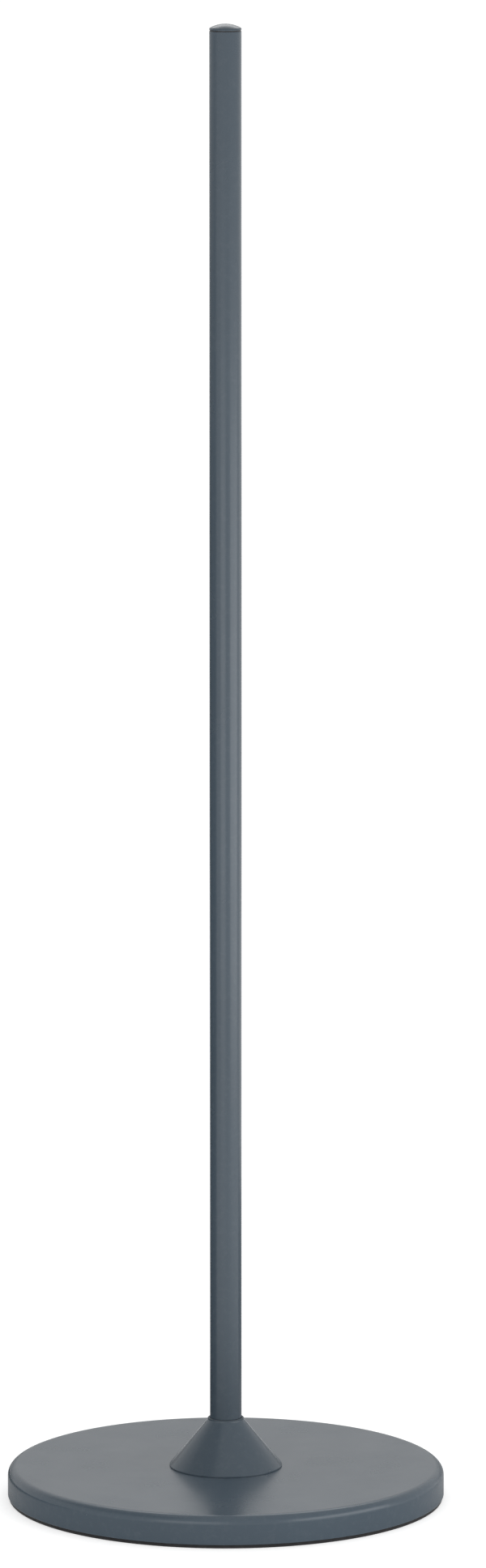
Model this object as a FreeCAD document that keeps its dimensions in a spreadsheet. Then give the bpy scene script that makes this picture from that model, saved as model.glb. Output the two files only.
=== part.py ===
import FreeCAD, Part
import math
import os
import re
import Sketcher

# A freestanding round display pole: a weighted disc base, a tube, a conical collar that hides the
# foot flange, and a crowned push-in cap. Millimetres, +Z up, origin on the floor under the pole.

Vector = FreeCAD.Vector

SIZES = (
    ("overall_height", 1183, "floor to the top of the cap's crown"),
    # base
    ("base_radius", 175, "outside of the base cover"),
    ("base_height", 26, "floor to the base cover's flat top"),
    ("cover_wall", 1.5, "sheet thickness of the base cover"),
    ("cover_rounding", 7, "outer radius of the base cover's top edge"),
    ("ring_height", 3, "thickness of the rubber floor ring"),
    ("ring_width", 16, "radial width of the floor ring's foot"),
    ("ring_inset", 1, "how far the floor ring stays inside the cover's rim"),
    ("ring_lip_height", 5, "height of the lip that is clamped between cover and ballast"),
    ("ring_lip_width", 1.5, "radial width of that lip"),
    ("ring_groove", 1, "depth and half width of the two grip grooves under the ring"),
    ("ring_edge", 1, "rounding of the ring's lower outer edge"),
    ("ballast_gap", 2, "radial space between the ballast and the cover's skirt"),
    ("ballast_rim", 40, "radial width of the ballast's outer rim"),
    ("ballast_web", 9, "thickness of the ballast between rim and hub"),
    ("ballast_hub", 44, "radius of the ballast's hub"),
    ("ballast_boss", 40, "radius of the raised seat on the hub"),
    ("ballast_chamfer", 5, "bevel on the ballast's upper edge, clear of the cover's rounding"),
    ("rib_count", 8, "ribs under the ballast"),
    ("rib_width", 8, "width of one rib"),
    ("rib_height", 8, "depth of one rib under the web"),
    ("pad_count", 6, "foam pads between ballast and cover"),
    ("pad_radius", 10, "radius of one foam pad"),
    ("pad_thickness", 1.5, "thickness of one foam pad"),
    ("pad_circle", 115, "radius of the circle the pads lie on"),
    # foot joint
    ("recess_radius", 20, "recess under the hub for the bolt head and a socket"),
    ("recess_top", 15, "height of that recess's roof above the floor"),
    ("seat_height", 20, "height of the seat for the foot plug above the floor"),
    ("bolt_radius", 6, "nominal thread radius of the base bolt"),
    ("bolt_length", 45, "base bolt, under the head"),
    ("bolt_flats", 19, "width across the base bolt's flats"),
    ("bolt_head", 7.5, "height of the base bolt's head"),
    ("bolt_face", 9, "radius of the flat face on the bolt's head"),
    ("bolt_hole", 6.6, "clearance hole for the base bolt"),
    ("washer_radius", 18.5, "plain washer, outside"),
    ("washer_thickness", 3, "plain washer"),
    ("spring_radius", 10.5, "spring washer, outside"),
    ("spring_thickness", 2.5, "spring washer"),
    ("spring_split", 1.25, "width of the spring washer's split"),
    ("flange_radius", 32, "foot flange"),
    ("flange_thickness", 6, "foot flange"),
    ("flange_bevel", 1, "bevel round the foot flange"),
    ("weld_leg", 4, "leg of the weld between foot flange and pole"),
    ("gasket_radius", 33, "foot gasket"),
    ("gasket_thickness", 1, "foot gasket"),
    ("plug_length", 40, "foot plug inside the pole"),
    ("plug_spigot", 10, "radius of the foot plug's spigot"),
    ("plug_bevel", 0.75, "lead-in bevel on the foot plug's upper end"),
    ("pin_count", 2, "spring pins through flange, cover and ballast"),
    ("pin_radius", 2, "radius of one spring pin"),
    ("pin_circle", 26, "radius of the circle the pins stand on"),
    ("pin_length", 14, "length of one spring pin"),
    ("pin_wall", 0.6, "sheet thickness of one spring pin"),
    ("pin_sink", 1, "depth of the pins' tops below the flange's top"),
    # pole
    ("pole_radius", 12.7, "outside of the 25.4 mm tube"),
    ("pole_wall", 1.5, "wall of the tube"),
    ("recess_depth", 0.4, "depth of the turned recess behind the collar's grommet"),
    ("recess_width", 3.6, "width of that recess"),
    ("recess_rise", 0.1, "height of that recess's upper edge above the grommet"),
    ("fit_gap", 0.02, "radial room in each fixed round fit"),
    ("loose_gap", 0.2, "room round a piece that only passes through another"),
    # collar
    ("felt_thickness", 0.4, "felt ring under the collar's foot flange"),
    ("felt_width", 3, "radial width of the felt ring"),
    ("rim_gap", 0.1, "height of the collar's rim above the base cover"),
    ("rim_lip", 0.6, "width of the rim's edge that hides the felt"),
    ("hem_width", 4, "flange turned in at the collar's foot, measured from the rim"),
    ("hem_thickness", 1.2, "thickness of that flange"),
    ("collar_radius", 45.1, "rim of the cone"),
    ("collar_rim", 1, "straight edge of the rim"),
    ("collar_rise", 36.9, "height of the cone above its rim edge"),
    ("collar_wall", 1.5, "wall of the cone"),
    ("neck_radius", 14.6, "top of the cone and outside of the collar's neck"),
    ("neck_wall", 0.8, "wall of the neck"),
    ("neck_height", 1.2, "neck above the cone"),
    ("collar_rounding", 2, "hollow rounding between the cone and its neck"),
    ("grommet_lip", 14.2, "outer radius of the rubber lip above the neck"),
    ("grommet_lip_height", 0.5, "height of that lip"),
    ("lip_rounding", 0.4, "rounding of that lip"),
    ("grommet_depth", 4.5, "how far the grommet reaches down inside the neck"),
    ("slide_gap", 0.25, "radial room between grommet and pole"),
    # cap
    ("crown_height", 3.4, "rise of the cap's crown"),
    ("cap_edge", 1.4, "straight side of the cap"),
    ("cap_rounding", 1.2, "rounding between crown and side, and bevel on the spigot's end"),
    ("seal_thickness", 1, "black washer under the cap"),
    ("seal_radius", 12.3, "outside of that washer"),
    ("spigot_radius", 10.9, "cap's spigot inside the pole"),
    ("spigot_length", 14, "cap's spigot below the pole's end"),
    ("oring_section", 0.75, "section radius of one O-ring"),
    ("oring_stand", 0.15, "how far an O-ring stands out of the spigot"),
    ("oring_pitch", 5, "distance between the two O-rings"),
    # thread under the cap
    ("insert_space", 3, "room between the cap's spigot and the threaded insert"),
    ("insert_length", 20, "threaded insert"),
    ("insert_thread", 5, "nominal thread radius of the insert"),
    ("insert_groove", 0.6, "depth of the insert's glue grooves"),
    ("insert_groove_width", 2.5, "width of the insert's glue grooves"),
    ("insert_bevel", 0.6, "bevel at the mouth of the thread"),
)
NAMES = {name for name, value, note in SIZES}

# Heights and radii that follow from the sizes, as formulas.
SEAT = "(base_height - cover_wall)"
BALLAST_TOP = "(base_height - cover_wall - pad_thickness)"
BALLAST_RADIUS = "(base_radius - cover_wall - ballast_gap)"
WEB_BOTTOM = "(base_height - cover_wall - pad_thickness - ballast_web)"
FLANGE_BOTTOM = "(base_height + gasket_thickness)"
POLE_BORE = "(pole_radius - pole_wall)"
POLE_TOP = "(overall_height - crown_height - cap_edge - seal_thickness)"
COLLAR_BOTTOM = "(base_height + rim_gap)"
CONE_TOP = "(base_height + rim_gap + collar_rim + collar_rise)"
NECK_TOP = "(base_height + rim_gap + collar_rim + collar_rise + neck_height)"
FELT_RADIUS = "(collar_radius - rim_lip)"
HEM_BOTTOM = "(base_height + felt_thickness)"
BOLT_SEAT = "(recess_top - washer_thickness - spring_thickness)"
INSERT_TOP = f"({POLE_TOP} - spigot_length - insert_space)"
PIN_BOTTOM = f"({FLANGE_BOTTOM} + flange_thickness - pin_sink - pin_length)"

GLUE_GROOVES = (0.25, 0.6)  # where the insert's glue grooves start, as shares of its length
SPLIT_ANGLE = 20  # lean of the spring washer's split, in degrees

TINY = 1e-4

doc = FreeCAD.newDocument("DisplayPole")
sheet = doc.addObject("Spreadsheet::Sheet", "Sizes")
for row, (name, value, note) in enumerate(SIZES, start=1):
    sheet.set(f"A{row}", name)
    sheet.set(f"B{row}", str(value))
    sheet.setAlias(f"B{row}", name)
    sheet.set(f"C{row}", note)
doc.recompute()


# ---------------------------------------------------------------- tools


def formula(text):
    """The text as a spreadsheet expression, with each size's name pointed at its cell."""
    return re.sub(r"[a-z_]+", lambda word: f"Sizes.{word[0]}" if word[0] in NAMES else word[0], str(text))


def number(text):
    """The present value of a formula."""
    return float(sheet.evalExpression(formula(text)))


def bind(thing, **formulas):
    """Bind an object's properties to formulas."""
    for name, text in formulas.items():
        thing.setExpression(name, formula(text))


def new_body(label):
    body = doc.addObject("PartDesign::Body", label)
    body.Label = label
    return body


def new_sketch(body, name, plane, height=None):
    """An empty sketch on one of the body's own origin planes, raised by height."""
    sketch = body.newObject("Sketcher::SketchObject", name)
    role = f"{plane}_Plane"
    origin_plane = next(item for item in body.Origin.OriginFeatures if item.Role == role)
    sketch.AttachmentSupport = [(origin_plane, "")]
    sketch.MapMode = "FlatFace"
    if height is not None:
        sketch.setExpression(".AttachmentOffset.Base.z", formula(height))
    return sketch


def constrain(sketch, text, kind, *where):
    """A dimension whose value is a formula."""
    index = sketch.addConstraint(Sketcher.Constraint(kind, *where, number(text)))
    sketch.setExpression(f"Constraints[{index}]", formula(text))


def arc_between(start, end, radius):
    """The counter-clockwise arc from start to end that is less than half a turn."""
    chord = end - start
    inward = Vector(-chord.y, chord.x, 0).normalize()
    centre = (start + end) / 2 + inward * math.sqrt(radius**2 - chord.Length**2 / 4)
    angles = [math.atan2(point.y - centre.y, point.x - centre.x) for point in (start, end)]
    return Part.ArcOfCircle(Part.Circle(centre, Vector(0, 0, 1), radius), *angles)


def draw_outline(sketch, corners):
    """A closed outline, counter-clockwise. A corner is (across, up) or (across, up, radius), where the
    radius turns the edge that leaves the corner into an arc."""
    points = [Vector(number(corner[0]), number(corner[1]), 0) for corner in corners]
    count = len(corners)
    for index, corner in enumerate(corners):
        start, end = points[index], points[(index + 1) % count]
        if len(corner) == 3:
            sketch.addGeometry(arc_between(start, end, number(corner[2])), False)
        else:
            sketch.addGeometry(Part.LineSegment(start, end), False)
    for index in range(count):
        sketch.addConstraint(Sketcher.Constraint("Coincident", index, 2, (index + 1) % count, 1))
    for index, corner in enumerate(corners):
        constrain(sketch, corner[0], "DistanceX", -1, 1, index, 1)
        constrain(sketch, corner[1], "DistanceY", -1, 1, index, 1)
        if len(corner) == 3:
            constrain(sketch, corner[2], "Radius", index)


def draw_circle(sketch, across, radius):
    """A circle on the sketch's across axis."""
    centre = Vector(number(across), 0, 0)
    index = sketch.addGeometry(Part.Circle(centre, Vector(0, 0, 1), number(radius)), False)
    constrain(sketch, across, "DistanceX", -1, 1, index, 3)
    sketch.addConstraint(Sketcher.Constraint("PointOnObject", index, 3, -1))
    constrain(sketch, radius, "Radius", index)


def revolve(body, name, corners, kind="Revolution"):
    """Turn a closed outline (radius, height) about the pole's axis; kind Groove cuts it away."""
    sketch = new_sketch(body, f"{name}_outline", "XZ")
    draw_outline(sketch, corners)
    feature = body.newObject(f"PartDesign::{kind}", name)
    feature.Profile = sketch
    feature.ReferenceAxis = (sketch, ["V_Axis"])
    feature.Angle = 360
    return feature


def pad(body, name, sketch, length):
    feature = body.newObject("PartDesign::Pad", name)
    feature.Profile = sketch
    bind(feature, Length=length)
    return feature


def pocket_through(body, name, sketch):
    """Cut a sketch away on both sides of its plane."""
    feature = body.newObject("PartDesign::Pocket", name)
    feature.Profile = sketch
    feature.Type = "ThroughAll"
    feature.SideType = "Symmetric"
    return feature


def polar_pattern(body, name, feature, sketch, count):
    """Repeat a feature round the pole's axis."""
    pattern = body.newObject("PartDesign::PolarPattern", name)
    pattern.Originals = [feature]
    pattern.Axis = (sketch, ["N_Axis"])
    pattern.Angle = 360
    bind(pattern, Occurrences=count)
    body.Tip = pattern
    return pattern


def pin_holes(body, height):
    """The holes for the spring pins, cut through the whole body at the given height."""
    sketch = new_sketch(body, "pin_hole_sketch", "XY", height)
    draw_circle(sketch, "pin_circle", "pin_radius + fit_gap")
    hole = pocket_through(body, "pin_hole", sketch)
    return polar_pattern(body, "pin_hole_pattern", hole, sketch, "pin_count")


def rings_at(feature, radius, height):
    """Names of the feature's round edges with this radius and height."""
    doc.recompute()
    radius, height = number(radius), number(height)
    return [
        f"Edge{index}"
        for index, edge in enumerate(feature.Shape.Edges, start=1)
        if not edge.Degenerated
        and isinstance(edge.Curve, Part.Circle)
        and abs(edge.Curve.Radius - radius) < TINY
        and abs(edge.Curve.Center.z - height) < TINY
    ]


def dress(body, kind, name, feature, rings, size):
    """Fillet or Chamfer the round edges listed as (radius, height)."""
    edges = [edge for ring in rings for edge in rings_at(feature, *ring)]
    dressing = body.newObject(f"PartDesign::{kind}", name)
    dressing.Base = (feature, edges)
    bind(dressing, **{"Radius" if kind == "Fillet" else "Size": size})
    return dressing


def primitive(kind, name, **formulas):
    thing = doc.addObject(f"Part::{kind}", name)
    bind(thing, **formulas)
    return thing


def raised(thing, height, across="0"):
    """Move a primitive along X and Z by formulas."""
    thing.setExpression(".Placement.Base.x", formula(across))
    thing.setExpression(".Placement.Base.z", formula(height))
    return thing


def combine(kind, name, base, tool):
    result = doc.addObject(f"Part::{kind}", name)
    result.Base = base
    result.Tool = tool
    return result


def flat_ring(label, outer, inner, thickness, height):
    """A washer-like ring as a cylinder with a hole."""
    disc = raised(primitive("Cylinder", f"{label}_disc", Radius=outer, Height=thickness), height)
    hole = raised(primitive("Cylinder", f"{label}_hole", Radius=inner, Height=thickness), height)
    return combine("Cut", label, disc, hole)


def group(label, members):
    """Identical loose pieces in one node."""
    compound = doc.addObject("Part::Compound", label)
    compound.Links = members
    return compound


def around(thing, circle, count, index, height):
    """Place a primitive on a circle round the pole's axis."""
    turn = 2 * math.pi * index / number(count)
    thing.setExpression(".Placement.Base.x", formula(f"{circle} * {math.cos(turn):.9f}"))
    thing.setExpression(".Placement.Base.y", formula(f"{circle} * {math.sin(turn):.9f}"))
    thing.setExpression(".Placement.Base.z", formula(height))
    return thing


# ---------------------------------------------------------------- base


def floor_ring():
    body = new_body("floor_ring")
    outer = "(base_radius - ring_inset)"
    inner = f"({outer} - ring_width)"
    lip_outer = "(base_radius - cover_wall - loose_gap)"
    corners = [(inner, "0")]
    for place in ("ring_width / 3", "ring_width * 2 / 3"):
        left = f"({inner} + {place} - ring_groove)"
        right = f"({inner} + {place} + ring_groove)"
        corners += [(left, "0"), (left, "ring_groove"), (right, "ring_groove"), (right, "0")]
    corners += [
        (outer, "0"),
        (outer, "ring_height"),
        (lip_outer, "ring_height"),
        (lip_outer, "ring_height + ring_lip_height"),
        (f"{lip_outer} - ring_lip_width", "ring_height + ring_lip_height"),
        (f"{lip_outer} - ring_lip_width", "ring_height"),
        (inner, "ring_height"),
    ]
    ring = revolve(body, "ring", corners)
    dress(body, "Fillet", "ring_edge", ring, [(outer, "0")], "ring_edge")
    return body


def base_cover():
    body = new_body("base_cover")
    inner = "(base_radius - cover_wall)"
    shell = revolve(
        body,
        "shell",
        [
            ("plug_spigot + loose_gap", SEAT),
            (inner, SEAT),
            (inner, "ring_height"),
            ("base_radius", "ring_height"),
            ("base_radius", "base_height"),
            ("plug_spigot + loose_gap", "base_height"),
        ],
    )
    rim = [("base_radius", "base_height")]
    outside = dress(body, "Fillet", "outer_rounding", shell, rim, "cover_rounding")
    dress(body, "Fillet", "inner_rounding", outside, [(inner, SEAT)], "cover_rounding - cover_wall")
    pin_holes(body, "base_height")
    return body


def ballast_disc():
    body = new_body("ballast_disc")
    rim = f"({BALLAST_RADIUS} - ballast_rim)"
    casting = revolve(
        body,
        "casting",
        [
            ("recess_radius", "ring_height"),
            ("ballast_hub", "ring_height"),
            ("ballast_hub", WEB_BOTTOM),
            (rim, WEB_BOTTOM),
            (rim, "ring_height"),
            (BALLAST_RADIUS, "ring_height"),
            (BALLAST_RADIUS, BALLAST_TOP),
            ("ballast_boss", BALLAST_TOP),
            ("ballast_boss", SEAT),
            ("plug_spigot + loose_gap / 2", SEAT),
            ("plug_spigot + loose_gap / 2", "seat_height"),
            ("bolt_hole", "seat_height"),
            ("bolt_hole", "recess_top"),
            ("recess_radius", "recess_top"),
        ],
    )
    dress(body, "Chamfer", "upper_bevel", casting, [(BALLAST_RADIUS, BALLAST_TOP)], "ballast_chamfer")

    rib_sketch = new_sketch(body, "rib_sketch", "XY", f"{WEB_BOTTOM} - rib_height")
    half = "rib_width / 2"
    near, far = "ballast_hub - rib_width / 2", f"{rim} + rib_width / 2"
    draw_outline(rib_sketch, [(near, f"-{half}"), (far, f"-{half}"), (far, half), (near, half)])
    rib = pad(body, "rib", rib_sketch, "rib_height + ballast_web / 2")
    polar_pattern(body, "ribs", rib, rib_sketch, "rib_count")

    hole_sketch = new_sketch(body, "pin_seat_sketch", "XY", SEAT)
    draw_circle(hole_sketch, "pin_circle", "pin_radius + fit_gap")
    hole = body.newObject("PartDesign::Pocket", "pin_seat")
    hole.Profile = hole_sketch
    bind(hole, Length=f"{SEAT} - {PIN_BOTTOM} + fit_gap")
    polar_pattern(body, "pin_seats", hole, hole_sketch, "pin_count")
    return body


def rattle_pads():
    pads = []
    for index in range(int(number("pad_count"))):
        disc = primitive("Cylinder", f"pad_{index}", Radius="pad_radius", Height="pad_thickness")
        pads.append(around(disc, "pad_circle", "pad_count", index, BALLAST_TOP))
    return group("rattle_pads", pads)


# ---------------------------------------------------------------- foot joint


def base_bolt():
    head_bottom = f"({BOLT_SEAT} - bolt_head)"
    prism = doc.addObject("Part::Prism", "bolt_hexagon")
    prism.Polygon = 6
    bind(prism, Circumradius="bolt_flats / sqrt(3)", Height="bolt_head")
    raised(prism, head_bottom)
    bevel = raised(
        primitive(
            "Cone",
            "bolt_bevel",
            Radius1="bolt_face",
            Radius2="bolt_face + bolt_head * sqrt(3)",
            Height="bolt_head",
        ),
        head_bottom,
    )
    head = combine("Common", "bolt_head_shape", prism, bevel)
    shank = primitive(
        "Cylinder", "bolt_shank", Radius="bolt_radius - fit_gap", Height="bolt_length + bolt_head / 2"
    )
    raised(shank, f"{BOLT_SEAT} - bolt_head / 2")
    return combine("Fuse", "base_bolt", head, shank)


def spring_washer():
    ring = flat_ring("spring_ring", "spring_radius", "bolt_hole", "spring_thickness", BOLT_SEAT)
    slot = primitive(
        "Box", "spring_slot", Length="spring_radius", Width="spring_split", Height="spring_thickness * 3"
    )
    raised(slot, f"{BOLT_SEAT} - spring_thickness")
    slot.Placement.Rotation = FreeCAD.Rotation(Vector(1, 0, 0), SPLIT_ANGLE)
    return combine("Cut", "spring_washer", ring, slot)


def plain_washer():
    height = "recess_top - washer_thickness"
    return flat_ring("plain_washer", "washer_radius", "bolt_hole", "washer_thickness", height)


def foot_plug():
    body = new_body("foot_plug")
    outer = f"({POLE_BORE} - fit_gap)"
    top = f"({FLANGE_BOTTOM} + plug_length)"
    plug = revolve(
        body,
        "plug",
        [
            ("bolt_radius", "seat_height + loose_gap"),
            ("plug_spigot", "seat_height + loose_gap"),
            ("plug_spigot", FLANGE_BOTTOM),
            (outer, FLANGE_BOTTOM),
            (outer, top),
            ("bolt_radius", top),
        ],
    )
    dress(body, "Chamfer", "lead_in", plug, [(outer, top)], "plug_bevel")
    return body


def foot_flange():
    body = new_body("foot_flange")
    bore = "(pole_radius + fit_gap)"
    top = f"({FLANGE_BOTTOM} + flange_thickness)"
    plate = revolve(
        body,
        "plate",
        [
            (bore, FLANGE_BOTTOM),
            ("flange_radius", FLANGE_BOTTOM),
            ("flange_radius", top),
            (f"{bore} + weld_leg", top),
            (bore, f"{top} + weld_leg"),
        ],
    )
    dress(body, "Chamfer", "plate_edge", plate, [("flange_radius", top)], "flange_bevel")
    pin_holes(body, FLANGE_BOTTOM)
    return body


def foot_gasket():
    body = new_body("foot_gasket")
    sketch = new_sketch(body, "gasket_sketch", "XY", "base_height")
    draw_circle(sketch, "0", "gasket_radius")
    draw_circle(sketch, "0", "plug_spigot + loose_gap")
    pad(body, "gasket", sketch, "gasket_thickness")
    pin_holes(body, "base_height")
    return body


def locating_pins():
    """Slotted spring pins, their tops just below the flange's top."""
    pins = []
    for index in range(int(number("pin_count"))):
        rod = primitive("Cylinder", f"pin_{index}_rod", Radius="pin_radius", Height="pin_length")
        core = primitive(
            "Cylinder", f"pin_{index}_core", Radius="pin_radius - pin_wall", Height="pin_length"
        )
        slot = primitive(
            "Box", f"pin_{index}_slot", Length="pin_radius", Width="pin_wall", Height="pin_length"
        )
        for piece in (rod, core, slot):
            around(piece, "pin_circle", "pin_count", index, PIN_BOTTOM)
        sleeve = combine("Cut", f"pin_{index}_sleeve", rod, core)
        pins.append(combine("Cut", f"pin_{index}", sleeve, slot))
    return group("locating_pins", pins)


# ---------------------------------------------------------------- pole


def pole_tube():
    body = new_body("pole_tube")
    sketch = new_sketch(body, "tube_sketch", "XY", FLANGE_BOTTOM)
    draw_circle(sketch, "0", "pole_radius")
    draw_circle(sketch, "0", POLE_BORE)
    pad(body, "tube", sketch, f"{POLE_TOP} - {FLANGE_BOTTOM}")
    recess_top = f"({NECK_TOP} + grommet_lip_height + recess_rise)"
    floor = "pole_radius - recess_depth"
    beyond = "pole_radius + recess_depth"
    revolve(
        body,
        "grommet_recess",
        [
            (floor, f"{recess_top} - recess_width"),
            (beyond, f"{recess_top} - recess_width"),
            (beyond, recess_top),
            (floor, recess_top),
        ],
        kind="Groove",
    )
    return body


def top_insert():
    body = new_body("top_insert")
    outer = f"({POLE_BORE} - fit_gap)"
    bottom = f"({INSERT_TOP} - insert_length)"
    bush = revolve(
        body,
        "bush",
        [
            ("insert_thread", bottom),
            (outer, bottom),
            (outer, INSERT_TOP),
            ("insert_thread", INSERT_TOP),
        ],
    )
    for index, place in enumerate(GLUE_GROOVES):
        low = f"({bottom} + insert_length * {place})"
        revolve(
            body,
            f"glue_groove_{index}",
            [
                (f"{outer} - insert_groove", low),
                (f"{outer} + insert_groove", low),
                (f"{outer} + insert_groove", f"{low} + insert_groove_width"),
                (f"{outer} - insert_groove", f"{low} + insert_groove_width"),
            ],
            kind="Groove",
        )
    dress(body, "Chamfer", "thread_mouth", body.Tip, [("insert_thread", INSERT_TOP)], "insert_bevel")
    return body


# ---------------------------------------------------------------- collar


def cone_collar():
    body = new_body("cone_collar")
    slope = "((collar_radius - neck_radius) / collar_rise)"
    wall_across = f"(collar_wall * sqrt(1 + {slope} ^ 2))"
    hem_top = f"({HEM_BOTTOM} + hem_thickness)"
    inner_foot = f"(neck_radius + {slope} * ({CONE_TOP} - {hem_top}) - {wall_across})"
    inner_top = f"({CONE_TOP} - ({wall_across} - neck_wall) / {slope})"
    neck_bore = "(neck_radius - neck_wall)"
    cone = revolve(
        body,
        "cone",
        [
            ("collar_radius - hem_width", HEM_BOTTOM),
            (FELT_RADIUS, HEM_BOTTOM),
            (FELT_RADIUS, COLLAR_BOTTOM),
            ("collar_radius", COLLAR_BOTTOM),
            ("collar_radius", f"{COLLAR_BOTTOM} + collar_rim"),
            ("neck_radius", CONE_TOP),
            ("neck_radius", NECK_TOP),
            (neck_bore, NECK_TOP),
            (neck_bore, inner_top),
            (inner_foot, hem_top),
            ("collar_radius - hem_width", hem_top),
        ],
    )
    dress(body, "Fillet", "neck_rounding", cone, [("neck_radius", CONE_TOP)], "collar_rounding")
    return body


def collar_grommet():
    body = new_body("collar_grommet")
    bore = "(pole_radius + slide_gap)"
    outer = "(neck_radius - neck_wall - fit_gap)"
    top = f"({NECK_TOP} + grommet_lip_height)"
    sleeve = revolve(
        body,
        "sleeve",
        [
            (bore, f"{NECK_TOP} - grommet_depth"),
            (outer, f"{NECK_TOP} - grommet_depth"),
            (outer, NECK_TOP),
            ("grommet_lip", NECK_TOP),
            ("grommet_lip", top),
            (bore, top),
        ],
    )
    dress(body, "Fillet", "lip_rounding", sleeve, [("grommet_lip", top)], "lip_rounding")
    return body


def collar_felt():
    outer = f"({FELT_RADIUS} - fit_gap)"
    return flat_ring("collar_felt", outer, f"{outer} - felt_width", "felt_thickness", "base_height")


# ---------------------------------------------------------------- cap


def oring_height(index):
    """Centre of one O-ring, counted from the lower one."""
    return f"({POLE_TOP} - spigot_length / 2 + oring_pitch * {index - 0.5})"


ORING_CENTRE = "(spigot_radius + oring_stand - oring_section)"


def top_cap():
    body = new_body("top_cap")
    edge_top = "(overall_height - crown_height)"
    edge_bottom = f"({edge_top} - cap_edge)"
    spigot_end = f"({POLE_TOP} - spigot_length)"
    head = revolve(
        body,
        "head",
        [
            ("0", spigot_end),
            ("spigot_radius", spigot_end),
            ("spigot_radius", edge_bottom),
            ("pole_radius", edge_bottom),
            ("pole_radius", edge_top, "(pole_radius ^ 2 + crown_height ^ 2) / (2 * crown_height)"),
            ("0", "overall_height"),
        ],
    )
    edge = dress(body, "Fillet", "crown_edge", head, [("pole_radius", edge_top)], "cap_rounding")
    dress(body, "Chamfer", "spigot_lead_in", edge, [("spigot_radius", spigot_end)], "cap_rounding")
    for index in range(2):
        middle = oring_height(index)
        floor = f"{ORING_CENTRE} - oring_section"
        beyond = "spigot_radius + oring_stand"
        revolve(
            body,
            f"oring_groove_{index}",
            [
                (floor, f"{middle} - oring_section"),
                (beyond, f"{middle} - oring_section"),
                (beyond, f"{middle} + oring_section"),
                (floor, f"{middle} + oring_section"),
            ],
            kind="Groove",
        )
    return body


def cap_washer():
    return flat_ring("cap_washer", "seal_radius", "spigot_radius + fit_gap", "seal_thickness", POLE_TOP)


def cap_o_rings():
    rings = []
    for index in range(2):
        ring = primitive("Torus", f"oring_{index}", Radius1=ORING_CENTRE, Radius2="oring_section")
        rings.append(raised(ring, oring_height(index)))
    return group("cap_o_rings", rings)


# ---------------------------------------------------------------- build and export

MAKERS = (
    floor_ring,
    base_cover,
    ballast_disc,
    rattle_pads,
    base_bolt,
    spring_washer,
    plain_washer,
    foot_plug,
    foot_flange,
    foot_gasket,
    locating_pins,
    pole_tube,
    top_insert,
    cone_collar,
    collar_grommet,
    collar_felt,
    top_cap,
    cap_washer,
    cap_o_rings,
)

pieces = [make() for make in MAKERS]
doc.recompute()

for thing in doc.Objects:
    if "Invalid" in thing.State or "Error" in thing.State:
        raise RuntimeError(f"{thing.Label} did not build: {thing.State}")
for piece in pieces:
    if piece.Shape.isNull() or not piece.Shape.isValid() or piece.Shape.Volume < TINY:
        raise RuntimeError(f"{piece.Label} has no valid solid")

os.makedirs("parts", exist_ok=True)
for piece in pieces:
    shape, box = piece.Shape, piece.Shape.BoundBox
    shape.exportStep(f"parts/{piece.Label}.step")
    heights = f"z {box.ZMin:.2f} to {box.ZMax:.2f}"
    print(f"{piece.Label}: {len(shape.Solids)} solid(s), {shape.Volume:.0f} mm3, {heights}")
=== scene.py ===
import math

import bmesh
import bpy
from mathutils import Matrix, Vector


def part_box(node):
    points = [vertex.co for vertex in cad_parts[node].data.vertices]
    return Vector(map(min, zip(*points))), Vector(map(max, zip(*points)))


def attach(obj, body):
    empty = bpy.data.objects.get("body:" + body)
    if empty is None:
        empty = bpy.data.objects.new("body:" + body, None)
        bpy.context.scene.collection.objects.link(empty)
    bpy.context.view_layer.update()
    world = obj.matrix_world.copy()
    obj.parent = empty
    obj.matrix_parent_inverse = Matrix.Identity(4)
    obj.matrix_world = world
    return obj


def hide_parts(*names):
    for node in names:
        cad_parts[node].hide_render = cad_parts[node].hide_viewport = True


# Looks of a freestanding round display pole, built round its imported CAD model. Metres, +Z up,
# origin on the floor under the pole's axis. Radii and heights come from the CAD nodes' boxes.

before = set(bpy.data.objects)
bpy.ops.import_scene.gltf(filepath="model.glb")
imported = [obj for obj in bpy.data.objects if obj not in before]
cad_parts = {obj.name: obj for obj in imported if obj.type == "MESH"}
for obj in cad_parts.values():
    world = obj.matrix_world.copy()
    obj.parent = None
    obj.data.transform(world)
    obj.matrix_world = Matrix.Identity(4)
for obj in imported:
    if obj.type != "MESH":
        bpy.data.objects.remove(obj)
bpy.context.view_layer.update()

MM = 0.001
TURN = 2 * math.pi

SHARP_EDGE = math.radians(38)

# Sizes that the nodes' boxes don't give, by sub-part.
EDGE = 0.25 * MM
FIT_GAP = 0.02 * MM

# Base cover.
COVER_WALL = 1.5 * MM
COVER_ROUNDING = 7 * MM
COVER_HEM = 0.6 * MM

# Rubber ring under the base; the notches take this share of its middle land.
RING_FOOT = 3 * MM
RING_WIDTH = 16 * MM
RING_INSET = 1 * MM
RING_LIP = 1.5 * MM
RING_GROOVE = 1 * MM
RING_NOTCHES = 72
RING_NOTCH_DEPTH = 0.7 * MM
RING_NOTCH_SHARE = 0.2

# Ballast casting and the foam pads on it.
BALLAST_RIM = 40 * MM
BALLAST_HUB = 44 * MM
BALLAST_BOSS = 40 * MM
BALLAST_WEB = 9 * MM
BALLAST_BEVEL = 5 * MM
BALLAST_DRAFT = 1.2 * MM
CAST_ROUNDING = 1.5 * MM
HUB_RECESS = 20 * MM
RIB_COUNT = 8
RIB_WIDTH = 8 * MM
RIB_HEIGHT = 8 * MM
RIB_FLARE = 3 * MM
PAD_COUNT = 6
PAD_RADIUS = 10 * MM
PAD_CIRCLE = 115 * MM
PAD_CROWN = 0.12 * MM

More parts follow.
